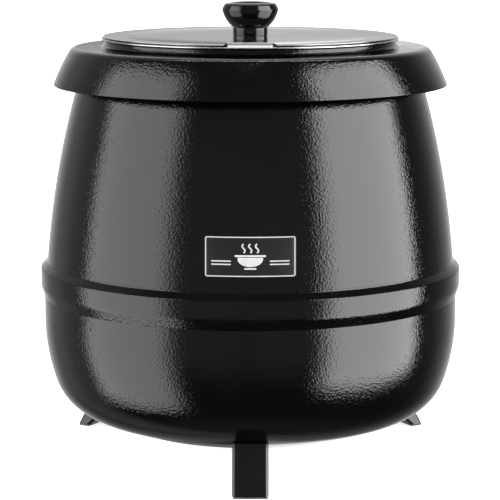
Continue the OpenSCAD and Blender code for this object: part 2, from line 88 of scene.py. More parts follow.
# The thickness of the painted steel, and of the stainless steel
SHEET = 1.2
THIN = 1.0


# Outlines

def arc(centre, radius, start, end, count):
    """Points of an arc, its angles in degrees."""
    turns = [math.radians(start + (end - start) * i / count) for i in range(count + 1)]
    return [(centre[0] + radius * math.cos(t), centre[1] + radius * math.sin(t)) for t in turns]


def chamfer(start, end, size, count=6):
    """A straight slope from start to end, each end rounded over this size from the vertical."""
    dx, dy = end[0] - start[0], end[1] - start[1]
    n = math.hypot(dx, dy)
    dx, dy = dx / n, dy / n
    weights = [((1 - i / count) ** 2, (i / count) ** 2) for i in range(count + 1)]
    foot = [(start[0] + b * size * dx, start[1] - a * size + b * size * dy) for a, b in weights]
    head = [(end[0] - b * size * dx, end[1] + a * size - b * size * dy) for a, b in weights]
    return foot + head[::-1]


def beside(line, t):
    """The line moved t to its left, mitred at its corners."""
    def normal(a, b):
        dx, dy = b[0] - a[0], b[1] - a[1]
        n = math.hypot(dx, dy)
        return -dy / n, dx / n

    moved, last = [], len(line) - 1
    for i, (x, y) in enumerate(line):
        before = normal(line[max(i - 1, 0)], line[max(i, 1)])
        after = normal(line[min(i, last - 1)], line[min(i + 1, last)])
        k = t / (1 + before[0] * after[0] + before[1] * after[1])
        moved.append((x + k * (before[0] + after[0]), y + k * (before[1] + after[1])))
    return moved


def skin_of_sheet(line, thickness):
    """A closed outline of a sheet whose outer skin is the line."""
    return line + beside(line, thickness)[::-1]


# The upper shell's long side arc, and the height where the band's slope meets it
SIDE_R = 735
SIDE_C = (BODY_R - 737.9, 99)
STEP_Z = 158.0


def side_radius(z):
    """The outer radius of the upper shell's long side at height z."""
    return SIDE_C[0] + math.sqrt(SIDE_R ** 2 - (z - SIDE_C[1]) ** 2)


def upper_line():
    """The upper shell's outer skin: edge, band, slope, long side, and the seat of the collar."""
    band_low, band_top, band_round, tuck = SEAM_Z + 10.6, SEAM_Z + 23.0, 12, 17.5
    step_round, past_step = 0.9, 1
    fillet, past_side, opening_r = 3, 6, 121.8
    seat = (SIDE_C[0] + math.sqrt((SIDE_R - fillet) ** 2 - (SEAT_Z - fillet - SIDE_C[1]) ** 2),
            SEAT_Z - fillet)
    turn = math.degrees(math.atan2(seat[1] - SIDE_C[1], seat[0] - SIDE_C[0]))
    foot = arc((BODY_R - band_round, band_low), band_round, -tuck, 0, 12)
    edge = (foot[0][0] - (foot[0][1] - EDGE_Z) * math.tan(math.radians(tuck)), EDGE_Z)
    start = math.degrees(math.asin((STEP_Z + past_step - SIDE_C[1]) / SIDE_R))
    return ([edge] + foot
            + chamfer((BODY_R, band_top), (side_radius(STEP_Z), STEP_Z), step_round)
            + arc(SIDE_C, SIDE_R, start, turn, 60)
            + arc(seat, fillet, turn + past_side, 90, 8)
            + [(opening_r, SEAT_Z)])


# The lower shell's wide barrel arc, the tighter corner under it, and the cone under that
BARREL_R, CORNER_R, CORNER_TURN, CONE_SLOPE = 155, 45, 18.86, 19.2
SKIN_R = BODY_R - 2.65
BARREL_C = (SKIN_R - BARREL_R, 112)
CORNER_C = (BARREL_C[0] + (BARREL_R - CORNER_R) * math.cos(math.radians(CORNER_TURN)),
            BARREL_C[1] - (BARREL_R - CORNER_R) * math.sin(math.radians(CORNER_TURN)))


def lower_line():
    """The lower shell's outer skin, from the base opening up to the seam."""
    slope, past_corner = math.radians(CONE_SLOPE), 0.6
    top = (CORNER_C[0] + CORNER_R * math.sin(slope), CORNER_C[1] - CORNER_R * math.cos(slope))
    foot_r = top[0] - (top[1] - BASE_Z) / math.tan(slope)
    return ([(foot_r, BASE_Z)]
            + arc(CORNER_C, CORNER_R, CONE_SLOPE - 90, -CORNER_TURN, 36)
            + arc(BARREL_C, BARREL_R, past_corner - CORNER_TURN, 0, 24)
            + [(SKIN_R, EDGE_Z)])


def collar_line():
    """The collar's outer skin: hem, skirt, round shoulder, flat top, and the hub round its bore."""
    flat_z, shoulder_c_r, round_r, past_skirt = HUB_Z - 5.4, 139.2, 7, 4
    skirt_r, skirt_turn, hem, hem_edge, past_hem = 165, 31, 4, 0.5, 0.15
    hub, bore, fillet, hub_round, bore_depth = 117, 112, 4.0, 1.3, 17
    centre = (shoulder_c_r, flat_z - round_r)
    skirt = (centre[0] - (skirt_r - round_r) * math.cos(math.radians(skirt_turn)),
             centre[1] - (skirt_r - round_r) * math.sin(math.radians(skirt_turn)))
    low_turn = math.degrees(math.asin((HEM_Z - skirt[1]) / skirt_r))
    hem_r = skirt[0] + skirt_r * math.cos(math.radians(low_turn))
    return ([(hem_r - hem, HEM_Z), (hem_r - hem_edge, HEM_Z)]
            + arc(skirt, skirt_r, low_turn + past_hem, skirt_turn, 16)
            + arc(centre, round_r, skirt_turn + past_skirt, 90, 14)
            + arc((hub + fillet, flat_z + fillet), fillet, 270, 180, 10)
            + arc((hub - hub_round, HUB_Z - hub_round), hub_round, 0, 90, 6)
            + arc((bore + hub_round, HUB_Z - hub_round), hub_round, 90, 180, 6)
            + [(bore, HUB_Z - bore_depth)])


def pot_outline():
    """The pot: floor, wall, a neck over the collar's hub, and the bead that carries the lid."""
    wall, floor_round, neck = 109, 22, 2
    bead_round, bead_width, bead_drop = 0.75, 2.1, 0.35
    neck_z, bead_in, bead_z = HUB_Z - neck, LID_R - bead_width, BEAD_Z - bead_drop
    floor_c = (wall - floor_round, POT_FLOOR_Z + floor_round)
    return ([(0, POT_FLOOR_Z)]
            + arc(floor_c, floor_round, -90, 0, 20)
            + arc((wall + neck, neck_z), neck, 180, 90, 8)
            + arc((LID_R - bead_round, bead_z - bead_round), bead_round, -90, 90, 14)
            + arc((bead_in + bead_round, bead_z - bead_round), bead_round, 100, 180, 6)
            + [(bead_in, HUB_Z + THIN)]
            + arc((wall + neck, neck_z), neck + THIN, 90, 180, 8)
            + arc(floor_c, floor_round - THIN, 0, -90, 20)
            + [(0, POT_FLOOR_Z + THIN)])


# The lid's middle lies lower than its rim
LID_FLAT_Z = LID_TOP_Z - 0.6
LID_EDGE_R = LID_R - 1.3


def lid_top_line():
    """The lid's top: a flat middle, a dish that rises ever faster, and a nearly level rim."""
    middle_r, dish_r, count = 60, 101, 24
    dish_top, rim_edge = LID_TOP_Z - 0.05, 1.3
    rise = dish_top - LID_FLAT_Z
    dish = [(middle_r + (dish_r - middle_r) * i / count, LID_FLAT_Z + rise * (i / count) ** 2)
            for i in range(count + 1)]
    rim = [(dish_r + 0.6, LID_TOP_Z - 0.04), (dish_r + 2, LID_TOP_Z - 0.03),
           (LID_EDGE_R - rim_edge, LID_TOP_Z)]
    return [(0, LID_FLAT_Z)] + dish + rim


def lid_outline():
    """The lid: its top, a thin round hem, and the seat under it that lies on the pot's bead."""
    top, hem, seat_r, seat_step = lid_top_line(), 0.45, 113.6, 0.6
    under = [(r, z - THIN) for r, z in top if r < seat_r]
    under += [(seat_r, LID_TOP_Z - THIN), (seat_r + seat_step, LID_TOP_Z - hem)]
    edge = arc((LID_EDGE_R - hem / 2, LID_TOP_Z - hem / 2), hem / 2, -90, 90, 8)
    return under + edge + top[::-1]


# Mesh code

def stand(name, mesh, crease=CREASE):
    """An object with this mesh, smooth except over creases sharper than an angle in degrees."""
    work = bmesh.new()
    work.from_mesh(mesh)
    bmesh.ops.recalc_face_normals(work, faces=work.faces)
    work.to_mesh(mesh)
    work.free()
    mesh.shade_smooth()
    mesh.set_sharp_from_angle(angle=math.radians(crease))
    thing = bpy.data.objects.new(name, mesh)
    bpy.context.scene.collection.objects.link(thing)
    return thing


def from_faces(name, points, faces, crease=CREASE):
    """An object from points in millimetres and faces as lists of point numbers."""
    mesh = bpy.data.meshes.new(name)
    mesh.from_pydata([(x * MM, y * MM, z * MM) for x, y, z in points], [], faces)
    return stand(name, mesh, crease)


def lathe(name, outline, steps=STEPS, crease=CREASE, at=(0, 0, 0), along="z"):
    """A closed outline of (radius, height) turned round an axis through at."""
    places = {"z": lambda a, b, h: (a, b, h), "y": lambda a, b, h: (a, h, b)}[along]
    points, rings, faces = [], [], []
    for r, h in outline:
        count = steps if r > 1e-6 else 1
        rings.append([len(points) + i for i in range(count)])
        for i in range(count):
            turn = 2 * math.pi * i / steps
            x, y, z = places(r * math.cos(turn), r * math.sin(turn), h)
            points.append((x + at[0], y + at[1], z + at[2]))
    for a, b in zip(rings, rings[1:] + rings[:1]):
        if len(a) == len(b) == 1:
            continue
        for i in range(steps):
            j = (i + 1) % steps
            corners = [a[i % len(a)], a[j % len(a)], b[j % len(b)], b[i % len(b)]]
            faces.append(list(dict.fromkeys(corners)))
    return from_faces(name, points, faces, crease)


def rod(name, radius, start, end, at=(0, 0), turn=0, steps=96):
    """A round bar from start to end along +Y, its axis at (x, z), then turned about Z."""
    outline = [(0, start), (radius, start), (radius, end), (0, end)]
    bar = lathe(name, outline, steps, along="y", at=(at[0], 0, at[1]))
    bar.data.transform(Matrix.Rotation(math.radians(turn), 4, "Z"))
    return bar


def prism(name, plan, bottom, top):
    """A flat outline of (x, y) raised from one height to another."""
    n = len(plan)
    points = [(x, y, bottom) for x, y in plan] + [(x, y, top) for x, y in plan]
    faces = [list(range(n))[::-1], list(range(n, 2 * n))]
    faces += [[i, (i + 1) % n, n + (i + 1) % n, n + i] for i in range(n)]
    return from_faces(name, points, faces)


def block(name, lows, highs, bevel=0.0, segments=3):
    """A box between two corners, its edges rounded by a bevel."""
    (x0, y0, z0), (x1, y1, z1) = lows, highs
    piece = prism(name, [(x0, y0), (x1, y0), (x1, y1), (x0, y1)], z0, z1)
    if bevel:
        round_edges(piece, bevel, segments)
    return piece


def round_edges(piece, width, segments, above=-1.0):
    """Bevels the edges that reach above a height in millimetres."""
    work = bmesh.new()
    work.from_mesh(piece.data)
    edges = [edge for edge in work.edges if max(v.co.z for v in edge.verts) > above * MM]
    bmesh.ops.bevel(work, geom=edges, offset=width * MM, segments=segments,
                    profile=0.5, affect="EDGES", clamp_overlap=True)
    bmesh.ops.recalc_face_normals(work, faces=work.faces)
    work.to_mesh(piece.data)
    work.free()
    piece.data.shade_smooth()
    piece.data.set_sharp_from_angle(angle=math.radians(CREASE))


def combine(piece, others, operation):
    """Applies a boolean of piece with each of the others, which are used up."""
    for other in others:
        step = piece.modifiers.new("combine", "BOOLEAN")
        step.operation, step.object, step.solver = operation, other, "EXACT"
    bpy.context.view_layer.update()
    seen = piece.evaluated_get(bpy.context.evaluated_depsgraph_get())
    mesh = bpy.data.meshes.new_from_object(seen)
    piece.modifiers.clear()
    piece.data = mesh
    mesh.shade_smooth()
    mesh.set_sharp_from_angle(angle=math.radians(CREASE))
    for other in others:
        bpy.data.objects.remove(other)
    return piece


def join(name, pieces):
    """Several pieces' meshes in one object."""
    work = bmesh.new()
    for piece in pieces:
        work.from_mesh(piece.data)
        bpy.data.objects.remove(piece)
    mesh = bpy.data.meshes.new(name)
    work.to_mesh(mesh)
    work.free()
    return stand(name, mesh)


# Materials

class Graph:
    """Short calls for making and joining nodes in one tree."""

    def __init__(self, tree):
        self.tree = tree
        tree.nodes.clear()

    def add(self, kind, inputs=(), **settings):
        """A node of this kind; an input is another node's socket or a value."""
        node = self.tree.nodes.new("ShaderNode" + kind)
        for key, value in settings.items():
            setattr(node, key, value)
        for key, value in dict(inputs).items():
            if isinstance(value, bpy.types.NodeSocket):
                self.tree.links.new(value, node.inputs[key])
            else:
                node.inputs[key].default_value = value
        return node

    def math(self, operation, a, b=0.0):
        return self.add("Math", {0: a, 1: b}, operation=operation).outputs[0]

    def times(self, first, *rest):
        for value in rest:
            first = self.math("MULTIPLY", first, value)
        return first

    def plus(self, first, *rest):
        for value in rest:
            first = self.math("ADD", first, value)
        return first

    def ramp(self, value, start, end, low=0.0, high=1.0, smooth=False):
        """value mapped from start..end to low..high, and held there outside it."""
        kind = "SMOOTHSTEP" if smooth else "LINEAR"
        return self.add("MapRange", {"Value": value, "From Min": start, "From Max": end,
                                     "To Min": low, "To Max": high},
                        interpolation_type=kind).outputs[0]

    def noise(self, where, scale, detail):
        return self.add("TexNoise", {"Vector": where, "Scale": scale, "Detail": detail,
                                     "Roughness": 0.5}).outputs["Fac"]

    def here(self):
        """Position in the piece's own frame, in metres."""
        return self.add("TexCoord").outputs["Object"]

    def turned(self):
        """Coordinates that hardly change round the vertical axis, for lathe marks."""
        metres_a_radian = 0.004
        x, y, z = self.add("SeparateXYZ", {"Vector": self.here()}).outputs
        r = self.math("SQRT", self.plus(self.times(x, x), self.times(y, y)))
        angle = self.times(self.math("ARCTAN2", y, x), metres_a_radian)
        return self.add("CombineXYZ", {"X": r, "Y": angle, "Z": z}).outputs[0]


def surface(name, dark, light, rough, cloud=40.0, bumps=(), marks=None, **constants):
    """A principled material.

    dark and light are the colours that a slow noise of scale cloud mixes, rough the roughness
    range that the same noise and a finer one give, and bumps a list of (scale, detail, height in
    metres). marks gives the coordinates of the fine noise and the bumps, where they aren't plain.
    """
    finer, noise_low, noise_high = 12, 0.3, 0.7
    material = bpy.data.materials.new(name)
    material.use_nodes = True
    graph = Graph(material.node_tree)
    here = graph.here()
    where = marks(graph) if marks else here
    slow = graph.noise(here, cloud, 3.0)
    fine = graph.noise(where, cloud * finer, 2.0)
    colour = graph.add("Mix", {"Factor": graph.ramp(slow, noise_low, noise_high),
                               "A": (*dark, 1), "B": (*light, 1)}, data_type="RGBA")
    mixed = graph.plus(graph.times(slow, 0.5), graph.times(fine, 0.5))
    inputs = {"Base Color": colour.outputs[2],
              "Roughness": graph.ramp(mixed, noise_low, noise_high, *rough)}
    for scale, detail, height in bumps:
        feed = {"Height": graph.noise(where, scale, detail), "Distance": height, "Strength": 1.0}
        if "Normal" in inputs:
            feed["Normal"] = inputs["Normal"]
        inputs["Normal"] = graph.add("Bump", feed).outputs[0]
    shader = graph.add("BsdfPrincipled", inputs)
    for key, value in constants.items():
        shader.inputs[key.replace("_", " ").title().replace("Ior", "IOR")].default_value = value
    graph.add("OutputMaterial", {"Surface": shader.outputs[0]})
    return material


def grey(value):
    return (value, value, value)


ENAMEL = surface("black_hammered_enamel", grey(0.0008), grey(0.0014), (0.03, 0.06), cloud=25,
                 bumps=[(580, 1.0, 0.00017), (1300, 1.0, 0.00002)])
FOOT = surface("black_foot_paint", grey(0.0035), grey(0.0055), (0.14, 0.22), cloud=60,
               bumps=[(700, 1.0, 0.00004)])
RUBBER = surface("pad_rubber", grey(0.06), grey(0.08), (0.6, 0.8), cloud=90,
                 bumps=[(2400, 3.0, 0.00004)])
STEEL = surface("polished_lid_steel", (0.62, 0.62, 0.63), (0.68, 0.68, 0.69), (0.06, 0.1),
                cloud=18, bumps=[(2600, 1.0, 0.0000012)], marks=Graph.turned, metallic=1.0)
POT_STEEL = surface("drawn_pot_steel", (0.6, 0.6, 0.61), (0.66, 0.66, 0.67), (0.2, 0.26),
                    cloud=22, bumps=[(1900, 2.0, 0.000001)], marks=Graph.turned, metallic=1.0)
HINGE_STEEL = surface("hinge_steel", (0.5, 0.5, 0.51), (0.6, 0.6, 0.61), (0.22, 0.36), cloud=200,
                      bumps=[(2400, 2.0, 0.000006)], metallic=1.0)
ALUMINIUM = surface("pan_aluminium", (0.6, 0.61, 0.62), (0.7, 0.7, 0.71), (0.3, 0.45), cloud=30,
                    bumps=[(1500, 2.0, 0.00001)], marks=Graph.turned, metallic=1.0)
ZINC = surface("zinc_plated_steel", (0.45, 0.46, 0.47), (0.58, 0.58, 0.57), (0.28, 0.42),
               cloud=150, bumps=[(1800, 3.0, 0.00001)], metallic=1.0)
KNOB_BLACK = surface("black_phenolic", grey(0.0015), grey(0.003), (0.06, 0.1), cloud=90,
                     bumps=[(900, 1.0, 0.000008)])
DIAL_BLACK = surface("black_dial_plastic", grey(0.01), grey(0.016), (0.3, 0.42), cloud=120,
                     bumps=[(2600, 2.0, 0.00002)])
SCALE_METAL = surface("satin_scale_plate", (0.5, 0.51, 0.52), (0.58, 0.58, 0.6), (0.3, 0.4),
                      cloud=120, bumps=[(3000, 2.0, 0.000004)], metallic=1.0)
SCALE_INK = surface("scale_ink", grey(0.01), grey(0.02), (0.4, 0.5), cloud=200,
                    bumps=[(3000, 1.0, 0.000004)])
PLATE = surface("plate_bronze_lacquer", (0.0055, 0.005, 0.0047), (0.0075, 0.0068, 0.006),
                (0.3, 0.4), cloud=50, bumps=[(1500, 2.0, 0.000006)])
PLATE_LINE = surface("plate_pale_print", grey(0.36), grey(0.42), (0.35, 0.45), cloud=140,
                     bumps=[(2500, 2.0, 0.000006)])
COPPER = surface("copper_tube", (0.7, 0.32, 0.18), (0.78, 0.4, 0.25), (0.22, 0.36), cloud=160,
                 bumps=[(1600, 2.0, 0.000008)], metallic=1.0)
BRASS = surface("brass_stud", (0.66, 0.48, 0.2), (0.75, 0.56, 0.27), (0.2, 0.32), cloud=160,
                bumps=[(1600, 2.0, 0.000008)], metallic=1.0)
CERAMIC = surface("cream_ceramic", (0.62, 0.58, 0.5), (0.7, 0.67, 0.6), (0.35, 0.5), cloud=90,
                  bumps=[(1400, 3.0, 0.00002)])
CUTOUT = surface("cutout_bakelite", grey(0.015), grey(0.025), (0.3, 0.45), cloud=150,
                 bumps=[(2000, 2.0, 0.00001)])
WIRE = surface("wire_sleeve", (0.45, 0.03, 0.02), (0.55, 0.05, 0.035), (0.35, 0.5), cloud=200,
               bumps=[(2500, 2.0, 0.00001)])
LENS = surface("amber_lens", (0.75, 0.16, 0.015), (0.85, 0.22, 0.03), (0.05, 0.1), cloud=160,
               bumps=[(1200, 1.0, 0.00001)], transmission_weight=0.5, ior=1.49)
SILICONE = surface("silicone_gasket", (0.45, 0.07, 0.04), (0.53, 0.1, 0.06), (0.45, 0.6),
                   cloud=120, bumps=[(2200, 2.0, 0.00002)])
SHEATH = surface("element_sheath", (0.32, 0.31, 0.3), (0.42, 0.4, 0.37), (0.35, 0.5), cloud=90,
                 bumps=[(1500, 3.0, 0.00002)], metallic=1.0)


def place(piece, material, body, slot, *nodes):
    """Gives a piece its material and the body it rides on, and hides the CAD nodes it stands for.
    """
    piece.data.materials.clear()
    piece.data.materials.append(material)
    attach(piece, body)
    if nodes:
        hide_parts(*nodes)
    return piece


# Shells and collar

place(lathe("upper_shell_painted", skin_of_sheet(upper_line(), SHEET)),
      ENAMEL, "root", "black_enamel", "upper_shell")

WELL_R, WELL_Y, CUP_STEPS = 25, low("dial_scale_plate", "y"), 192
DIAL_XZ = (0, DIAL_Z)
LAMP_TURN, GLAND_TURN, GLAND_Z = -16, 22, 66


def lower_solid(name, steps):
    """The lower shell as if it were solid, for cutting other pieces with."""
    return lathe(name, [(0, BASE_Z)] + lower_line() + [(0, SEAM_Z)], steps)


def lower_shell():
    """The lower shell, with a well sunk in its back for the heat control, and its holes."""
    opening_r, tuck_r, outside, inside = 92, BODY_R - 4.4, 200, 140
    bush_r, lamp_r, gland_r = 5.1, 5.2, 6.6
    line = [(opening_r, BASE_Z)] + lower_line() + [(tuck_r, EDGE_Z), (tuck_r, TUCK_TOP_Z)]
    shell = lathe("lower_shell_painted", skin_of_sheet(line, SHEET))
    bar = rod("cup_bar", WELL_R + SHEET, WELL_Y - SHEET, outside, DIAL_XZ)
    shell = combine(shell, [combine(lower_solid("cup", CUP_STEPS), [bar], "INTERSECT")], "UNION")
    cutters = [rod("well", WELL_R, WELL_Y, outside, DIAL_XZ),
               rod("bush_hole", bush_r, inside, WELL_Y + 1, DIAL_XZ),
               rod("lamp_hole", lamp_r, inside, outside, DIAL_XZ, LAMP_TURN),
               rod("gland_hole", gland_r, inside, outside, (0, GLAND_Z), GLAND_TURN)]
    return combine(shell, cutters, "DIFFERENCE")


place(lower_shell(), ENAMEL, "root", "black_enamel", "lower_shell")
place(lathe("collar_painted", skin_of_sheet(collar_line(), SHEET)),
      ENAMEL, "root", "black_enamel", "collar_ring")

# Pot

place(lathe("inset_pot_drawn", pot_outline()), POT_STEEL, "pot", "stainless", "inset_pot")

# Lid: two halves with a narrow gap between them, and a notch in the front one

SPLIT = 0.3
LID_STEPS = 288
NOTCH_HALF, MOUTH_HALF, NOTCH_Y, NOTCH_ROUND = 17.3, 20.6, 75.3, 1.2
CUT_LOW, CUT_HIGH = LID_TOP_Z - 9, LID_TOP_Z + 9


def notch_plan():
    """The notch as a plan that widens towards the rim and runs out past it."""
    r = NOTCH_ROUND
    widening = (MOUTH_HALF - NOTCH_HALF) / (LID_R - NOTCH_Y)
    far_half = MOUTH_HALF + CLEAR * widening
    back = (arc((r - NOTCH_HALF, -NOTCH_Y - r), r, 180, 90, 6)
            + arc((NOTCH_HALF - r, -NOTCH_Y - r), r, 90, 0, 6))
    return [(-far_half, -LID_R - CLEAR)] + back + [(far_half, -LID_R - CLEAR)]


def notch_lip():
    """The lip folded down along the notch's back edge, its lower edge the wider one.

    The section is given as (distance in front of the notch's edge, height over the lid's flat).
    """
    slope, bend, run, flare = 57, 2.2, 3.6, 1.0
    root, into_sides = 0.6, 0.1
    down = (math.cos(math.radians(slope)), -math.sin(math.radians(slope)))
    outer = arc((0, -bend), bend, 90, 90 - slope, 6)
    outer.append((outer[-1][0] + run * down[0], outer[-1][1] + run * down[1]))
    section = [(-root, 0)] + outer
    section += beside(section, -THIN)[::-1]
    points, n = [], len(section)
    for side in (-1, 1):
        points += [(side * (NOTCH_HALF + into_sides + flare * max(u, 0)), -NOTCH_Y - u,
                    LID_FLAT_Z + h) for u, h in section]
    faces = [list(range(n)), list(range(n, 2 * n))]
    faces += [[i, (i + 1) % n, n + (i + 1) % n, n + i] for i in range(n)]
    return from_faces("notch_lip", points, faces)


def lid_half(name, front):
    far = LID_R + CLEAR
    ends = (-far, -SPLIT) if front else (SPLIT, far)
    side = block("side", (-far, ends[0], CUT_LOW), (far, ends[1], CUT_HIGH))
    half = combine(lathe(name, lid_outline(), LID_STEPS), [side], "INTERSECT")
    if front:
        half = combine(half, [prism("notch", notch_plan(), CUT_LOW, CUT_HIGH)], "DIFFERENCE")
        half = combine(half, [notch_lip()], "UNION")
    return half


place(lid_half("lid_front_pressed", True), STEEL, "flap", "stainless", "lid_front")
place(lid_half("lid_rear_pressed", False), STEEL, "lid", "stainless", "lid_rear")

# Hinge rivets with domed heads

RIVET_X, RIVET_Y, RIVET_STEPS = 8, 9, 48


def rivets(name, y):
    """Two rivets: a low domed head over the hinge leaf, a shank, and a tail under the lid."""
    head_r, shank_r, flattening, tail, tail_edge = 2.2, 1.2, 0.36, 0.8, 0.3
    leaf_z, under_z = LID_FLAT_Z + THIN, LID_FLAT_Z - THIN
    dome = [(r, leaf_z + (z - leaf_z) * flattening)
            for r, z in arc((0, leaf_z), head_r, 0, 90, 6)]
    stem = [(0, under_z - tail), (head_r - tail_edge, under_z - tail),
            (head_r, under_z - tail + tail_edge), (head_r, under_z),
            (shank_r, under_z), (shank_r, leaf_z)]
    return join(name, [lathe("rivet", stem + dome, RIVET_STEPS, at=(x, y, 0))
                       for x in (-RIVET_X, RIVET_X)])


place(rivets("rivets_rear_domed", RIVET_Y), HINGE_STEEL, "lid", "hinge_steel",
      "hinge_rivets_rear")
place(rivets("rivets_front_domed", -RIVET_Y), HINGE_STEEL, "flap", "hinge_steel",
      "hinge_rivets_front")

# Knob, with its heights taken from the lid's flat top

KNOB_H = KNOB_TOP_Z - LID_FLAT_Z
NECK_R, NECK_EDGE, RING_H = 13.6, 0.35, 3.8
CAP_R, CAP_DEPTH, BORE_R = 13.0, 1.4, 2.4


def on_lid(line):
    return [(r, z + LID_FLAT_Z) for r, z in line]


def knob_outline():
    """The knob: a straight neck, a hollow flank up to the mould line, and a rounded shoulder."""
    flank_r, flank_c, flank_end = 24.35, (-1.8, 28.7), -12.45
    mould_line, shoulder_c, shoulder_r = (22.08, 24.2), (18.22, 26.04), 2.665
    rim_width, rim_round, neck_in = 1.1, 0.4, 0.4
    neck_turn = -math.degrees(math.acos((NECK_R - flank_c[0]) / flank_r))
    return on_lid([(BORE_R, RING_H), (NECK_R - neck_in, RING_H)]
                  + arc((NECK_R - NECK_EDGE, RING_H + NECK_EDGE), NECK_EDGE, -90, 0, 4)
                  + arc(flank_c, flank_r, neck_turn, flank_end, 28)
                  + [mould_line]
                  + arc(shoulder_c, shoulder_r, 26, 72, 12)
                  + arc((CAP_R + rim_width, KNOB_H - rim_round), rim_round, 70, 180, 5)
                  + [(CAP_R, KNOB_H - CAP_DEPTH), (BORE_R, KNOB_H - CAP_DEPTH)])


def knob_ring_outline():
    """The ring under the knob, stepped in at its top so that a groove shows round the neck."""
    bore, foot_in, band_h, groove = BORE_R + 0.2, 0.3, 3.4, 0.7
    return on_lid([(bore, 0), (NECK_R - foot_in, 0)]
                  + arc((NECK_R - NECK_EDGE, NECK_EDGE), NECK_EDGE, -80, 0, 4)
                  + arc((NECK_R - NECK_EDGE, band_h - NECK_EDGE), NECK_EDGE, 0, 90, 4)
                  + [(NECK_R - groove, band_h), (NECK_R - groove, RING_H), (bore, RING_H)])


def cap_outline():
    """The disc set in the top of the knob, its edge rounded and its middle nearly flat."""
    low_z, rim, edge, thick = KNOB_H - CAP_DEPTH, CAP_R - 0.1, 0.3, 0.5
    return on_lid([(0, low_z), (rim, low_z)]
                  + arc((rim - edge, low_z + edge), edge, 0, 90, 5)
                  + [(rim - 1.2, low_z + thick + 0.05), (rim * 0.6, low_z + thick),
                     (0, low_z + thick)])


KNOB_AT = (0, KNOB_Y, 0)
CAP_STEPS = 128
place(lathe("knob_moulded", knob_outline(), SMALL_STEPS, crease=20, at=KNOB_AT),
      KNOB_BLACK, "flap", "knob_black", "knob")
place(lathe("knob_ring_moulded", knob_ring_outline(), SMALL_STEPS, at=KNOB_AT),
      KNOB_BLACK, "flap", "knob_black", "knob_base_ring")
place(lathe("knob_cap_moulded", cap_outline(), CAP_STEPS, at=KNOB_AT),
      KNOB_BLACK, "flap", "knob_black", "knob_cap")

# Feet and pads, each a side view in (radius, height) made wide

PAD_T = high("foot_pads", "z")
FOOT_W, FOOT_BEVEL, FOOT_SQUARE = 27.8, 2.0, 0.1
FOOT_SIDE = [(151.2, PAD_T), (162.6, PAD_T), (141, 39.4), (118.5, 31)]
PAD_W, PAD_BEVEL = 26.6, 0.4
PAD_SIDE = [(151.8, 0), (162, 0), (162, PAD_T), (151.8, PAD_T)]
FOOT_TURNS = {"foot_front": 270, "foot_rear_right": 30, "foot_rear_left": 150}


def radial_prism(name, outline, width, turn, bevel, above=-1.0):
    """An outline of (radius, height) made width wide and turned to a place round the kettle."""
    n, half = len(outline), width / 2
    points = [(r, -half, z) for r, z in outline] + [(r, half, z) for r, z in outline]
    faces = [list(range(n)), list(range(n, 2 * n))[::-1]]
    faces += [[i, n + i, n + (i + 1) % n, (i + 1) % n] for i in range(n)]
    piece = from_faces(name, points, faces)
    round_edges(piece, bevel, 1, above)
    piece.data.transform(Matrix.Rotation(math.radians(turn), 4, "Z"))
    return piece


for node, turn in FOOT_TURNS.items():
    foot = radial_prism(node + "_cast", FOOT_SIDE, FOOT_W, turn, FOOT_BEVEL, PAD_T + FOOT_SQUARE)
    foot = combine(foot, [lower_solid("shell_inside", STEPS)], "DIFFERENCE")
    place(foot, FOOT, "root", "foot_black", node)

pads = [radial_prism("pad", PAD_SIDE, PAD_W, turn, PAD_BEVEL) for turn in FOOT_TURNS.values()]
place(join("foot_pads_moulded", pads), RUBBER, "root", "pad_rubber", "foot_pads")

# Name plate: a framed plate with a plain bowl and steam drawn on it

PLATE_HALF = high("name_plate", "x")
PLATE_MID = middle("name_plate", "z")
PLATE_HALF_H = high("name_plate", "z") - PLATE_MID
PLATE_CORNER, PLATE_BACK, PLATE_T = 1.6, 0.05, 0.8
INK = (PLATE_T - 0.02, PLATE_T + 0.12)


def on_side(x, z, lift):
    """The point above the shell's front at (x, z), lift outside its skin."""
    r = side_radius(z) + lift
    return (x, -math.sqrt(r * r - x * x), z)


def rounded(half_w, half_h, corner, count=8):
    """A rounded rectangle round (0, 0), anticlockwise."""
    w, h = half_w - corner, half_h - corner
    line = []
    for cx, cz, start in ((w, h, 0), (-w, h, 90), (-w, -h, 180), (w, -h, 270)):
        line += arc((cx, cz), corner, start, start + 90, count)
    return line


def fine_loop(line, step):
    """A closed line with points added so that none is further than step from the next."""
    out = []
    for (ax, az), (bx, bz) in zip(line, line[1:] + line[:1]):
        count = max(1, math.ceil(math.hypot(bx - ax, bz - az) / step))
        out += [(ax + (bx - ax) * i / count, az + (bz - az) * i / count) for i in range(count)]
    return out


def level(start, end, z, count):
    """Points from one x to another at one height."""
    return [(start + (end - start) * i / count, z) for i in range(count + 1)]


